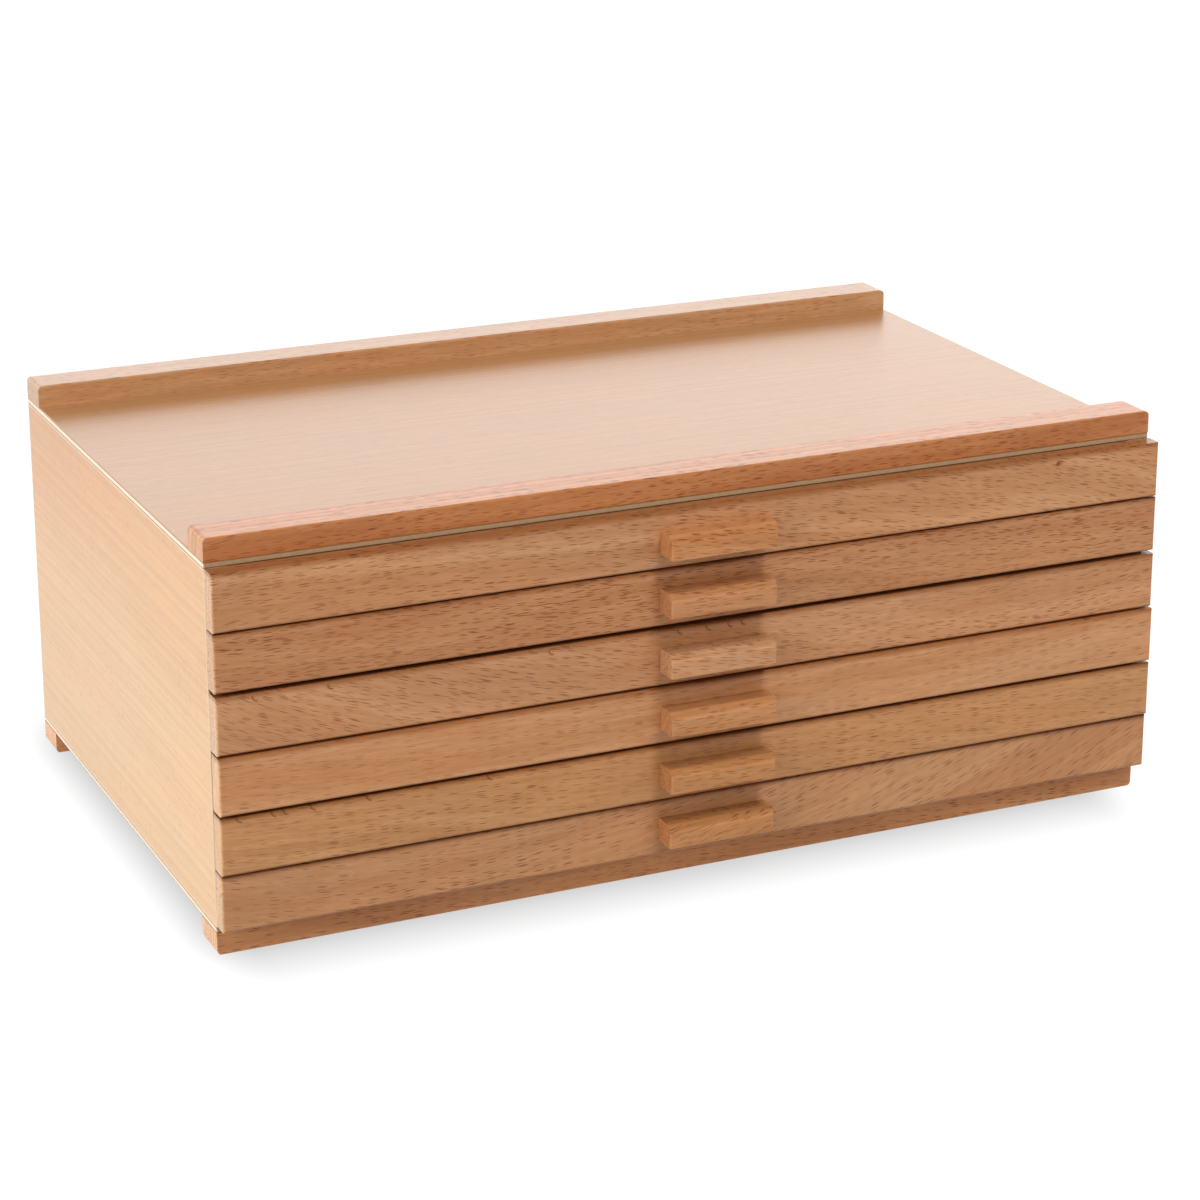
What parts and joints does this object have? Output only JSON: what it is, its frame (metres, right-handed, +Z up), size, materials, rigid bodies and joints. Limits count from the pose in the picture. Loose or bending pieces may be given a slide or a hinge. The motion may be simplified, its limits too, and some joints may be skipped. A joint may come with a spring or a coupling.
{
  "type": "pencil drawer box",
  "caption": "Low beech table-top box of six shallow drawers with centre pulls, and railed top that serves as a tray.",
  "frame": {"origin": "middle of the underside of the whole box, drawers and pulls included, on the surface the feet stand on", "axes": "+X to the right along the drawer fronts, -Y out of the fronts towards the user, +Z up"},
  "size_m": [0.4, 0.2578, 0.1634],
  "materials": {
    "beech": "sanded and oiled steamed beech, satin",
    "inner_beech": "sanded beech, unfinished",
    "veneered_panel": "beech veneer on thin plywood, satin",
    "veneered_side": "beech veneer, satin",
    "plywood": "thin plywood, matt",
    "zinc_steel": "zinc plated"
  },
  "bodies": {
    "case": {"bottom_panel": "veneered_panel", "top_panel": "veneered_panel", "case_side_right": "veneered_side", "case_side_left": "veneered_side", "back_panel": "plywood", "top_front_rail": "beech", "top_rear_rail": "beech", "front_foot": "beech", "rear_foot": "beech", "runners_right": "inner_beech", "runners_left": "inner_beech"},
    "drawer_1": {"drawer_1_front": "beech", "drawer_1_pull": "beech", "drawer_1_pull_screws": "zinc_steel", "drawer_1_side_right": "inner_beech", "drawer_1_side_left": "inner_beech", "drawer_1_bottom": "plywood", "drawer_1_back": "inner_beech", "drawer_1_divider": "plywood"},
    "drawer_2": {"drawer_2_front": "beech", "drawer_2_pull": "beech", "drawer_2_pull_screws": "zinc_steel", "drawer_2_side_right": "inner_beech", "drawer_2_side_left": "inner_beech", "drawer_2_bottom": "plywood", "drawer_2_back": "inner_beech", "drawer_2_divider": "plywood"},
    "drawer_3": {"drawer_3_front": "beech", "drawer_3_pull": "beech", "drawer_3_pull_screws": "zinc_steel", "drawer_3_side_right": "inner_beech", "drawer_3_side_left": "inner_beech", "drawer_3_bottom": "plywood", "drawer_3_back": "inner_beech", "drawer_3_divider": "plywood"},
    "drawer_4": {"drawer_4_front": "beech", "drawer_4_pull": "beech", "drawer_4_pull_screws": "zinc_steel", "drawer_4_side_right": "inner_beech", "drawer_4_side_left": "inner_beech", "drawer_4_bottom": "plywood", "drawer_4_back": "inner_beech", "drawer_4_divider": "plywood"},
    "drawer_5": {"drawer_5_front": "beech", "drawer_5_pull": "beech", "drawer_5_pull_screws": "zinc_steel", "drawer_5_side_right": "inner_beech", "drawer_5_side_left": "inner_beech", "drawer_5_bottom": "plywood", "drawer_5_back": "inner_beech", "drawer_5_divider": "plywood"},
    "drawer_6": {"drawer_6_front": "beech", "drawer_6_pull": "beech", "drawer_6_pull_screws": "zinc_steel", "drawer_6_side_right": "inner_beech", "drawer_6_side_left": "inner_beech", "drawer_6_bottom": "plywood", "drawer_6_back": "inner_beech", "drawer_6_divider": "plywood"}
  },
  "joints": [
    {"name": "drawer_1_slide", "type": "slide", "parent": "case", "child": "drawer_1", "axis": [0, -1, 0], "range_m": [0, 0.188]},
    {"name": "drawer_2_slide", "type": "slide", "parent": "case", "child": "drawer_2", "axis": [0, -1, 0], "range_m": [0, 0.188]},
    {"name": "drawer_3_slide", "type": "slide", "parent": "case", "child": "drawer_3", "axis": [0, -1, 0], "range_m": [-0.0003, 0.1877]},
    {"name": "drawer_4_slide", "type": "slide", "parent": "case", "child": "drawer_4", "axis": [0, -1, 0], "range_m": [-0.0014, 0.1866]},
    {"name": "drawer_5_slide", "type": "slide", "parent": "case", "child": "drawer_5", "axis": [0, -1, 0], "range_m": [-0.0011, 0.1869]},
    {"name": "drawer_6_slide", "type": "slide", "parent": "case", "child": "drawer_6", "axis": [0, -1, 0], "range_m": [0, 0.188]}
  ]
}
